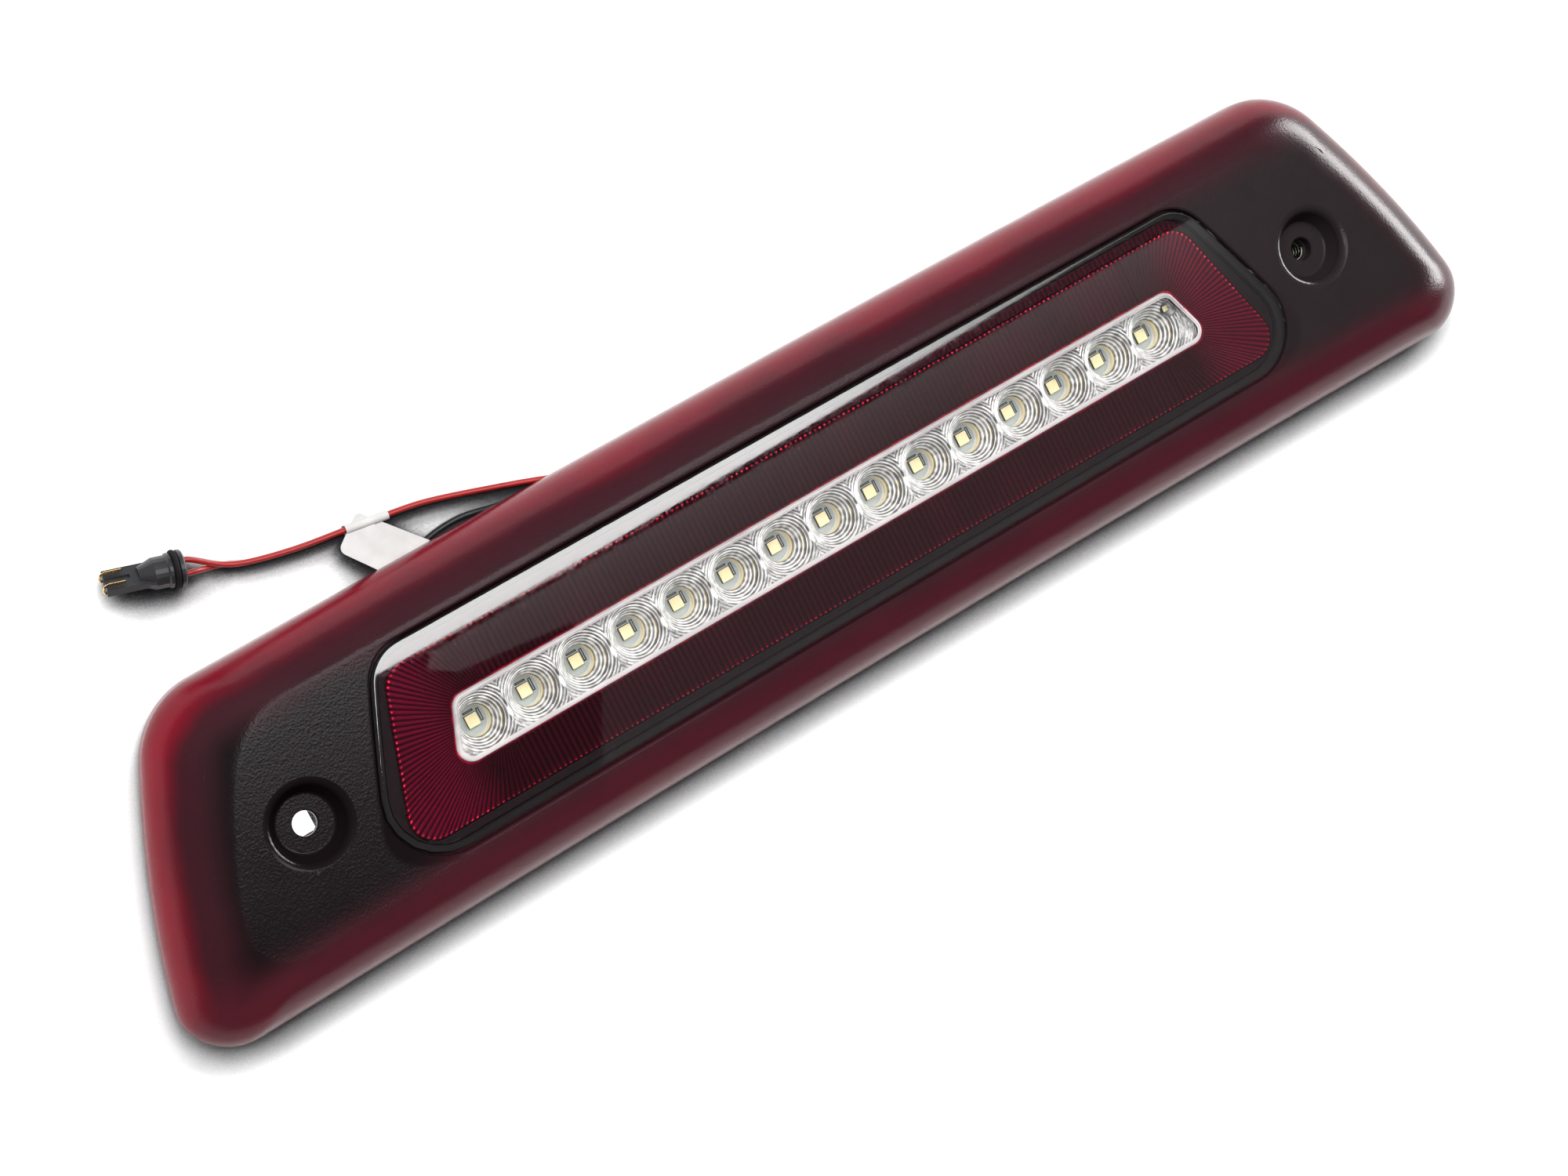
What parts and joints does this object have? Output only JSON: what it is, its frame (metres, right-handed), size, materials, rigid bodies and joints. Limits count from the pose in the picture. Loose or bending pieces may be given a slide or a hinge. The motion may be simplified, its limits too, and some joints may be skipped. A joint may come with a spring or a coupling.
{
  "type": "third brake light",
  "caption": "Long trapezoid brake light on its back: smoked red cover, glossy window, fluted red lens, clear LED strip, two screw recesses, and a red lead with wedge plug.",
  "frame": {"origin": "flat back of the rear housing, under the middle of the window", "axes": "+Z out of the window, +X along the lamp, +Y towards the narrower long edge, where the lead comes out"},
  "size_m": [0.443, 0.1257, 0.028],
  "materials": {
    "smoked_cover": "fine leather grain, smoked red, lighter and redder at the rim",
    "window": "polished smoked window",
    "black_rubber": "matt rubber",
    "black_plastic": "satin moulded",
    "fluted_red": "fluted, polished red",
    "clear_strip": "polished clear",
    "chrome_reflector": "vacuum metallised",
    "board": "light grey board",
    "white_led": "cream phosphor",
    "red_led": "red resin",
    "chip_black": "moulded package",
    "ceramic_part": "unglazed",
    "screw_steel": "zinc plated",
    "insert_metal": "machined thread",
    "foam": "closed cell foam",
    "wire_red": "satin insulation",
    "wire_black": "satin insulation",
    "label": "blank white label",
    "plug_black": "moulded nylon",
    "contact_gold": "plated wire"
  },
  "bodies": {
    "lamp": {"outer_cover": "smoked_cover", "window_lens": "window", "window_seal": "black_rubber", "inner_bezel": "black_plastic", "flute_lens": "fluted_red", "strip_lens": "clear_strip", "reflector": "chrome_reflector", "led_board": "board", "driver_chip": "chip_black", "resistor": "chip_black", "diode": "chip_black", "capacitor": "ceramic_part", "rear_housing": "black_plastic", "gasket": "foam", "lead_grommet": "black_rubber", "screw_insert": "insert_metal", "inner_lead_red_1": "wire_red", "inner_lead_red_2": "wire_red", "inner_lead_black": "wire_black", "white_led_01": "white_led", "white_led_02": "white_led", "white_led_03": "white_led", "white_led_04": "white_led", "white_led_05": "white_led", "white_led_06": "white_led", "white_led_07": "white_led", "white_led_08": "white_led", "white_led_09": "white_led", "white_led_10": "white_led", "white_led_11": "white_led", "white_led_12": "white_led", "white_led_13": "white_led", "white_led_14": "white_led", "white_led_15": "white_led", "white_led_16": "white_led", "red_led_1": "red_led", "red_led_2": "red_led", "red_led_3": "red_led", "red_led_4": "red_led", "red_led_5": "red_led", "red_led_6": "red_led", "red_led_7": "red_led", "red_led_8": "red_led", "housing_screw_1": "screw_steel", "board_screw_1": "screw_steel", "housing_screw_2": "screw_steel", "board_screw_2": "screw_steel", "housing_screw_3": "screw_steel", "board_screw_3": "screw_steel", "housing_screw_4": "screw_steel", "board_screw_4": "screw_steel"},
    "lead": {"lead_red_1": "wire_red", "lead_red_2": "wire_red", "lead_black": "wire_black", "wire_label": "label"},
    "plug": {"plug_body": "plug_black", "plug_seal": "black_rubber", "plug_contact_1": "contact_gold", "plug_contact_2": "contact_gold"}
  },
  "joints": [
    {"name": "lead_swing", "type": "hinge", "parent": "lamp", "child": "lead", "pos_m": [-0.04, 0.0265, 0], "axis": [0, 0, 1], "range_deg": [-30, 5]},
    {"name": "plug_bend", "type": "hinge", "parent": "lead", "child": "plug", "pos_m": [-0.1636, 0.0698, 0], "axis": [0, 0, 1], "range_deg": [-30, 30]}
  ]
}
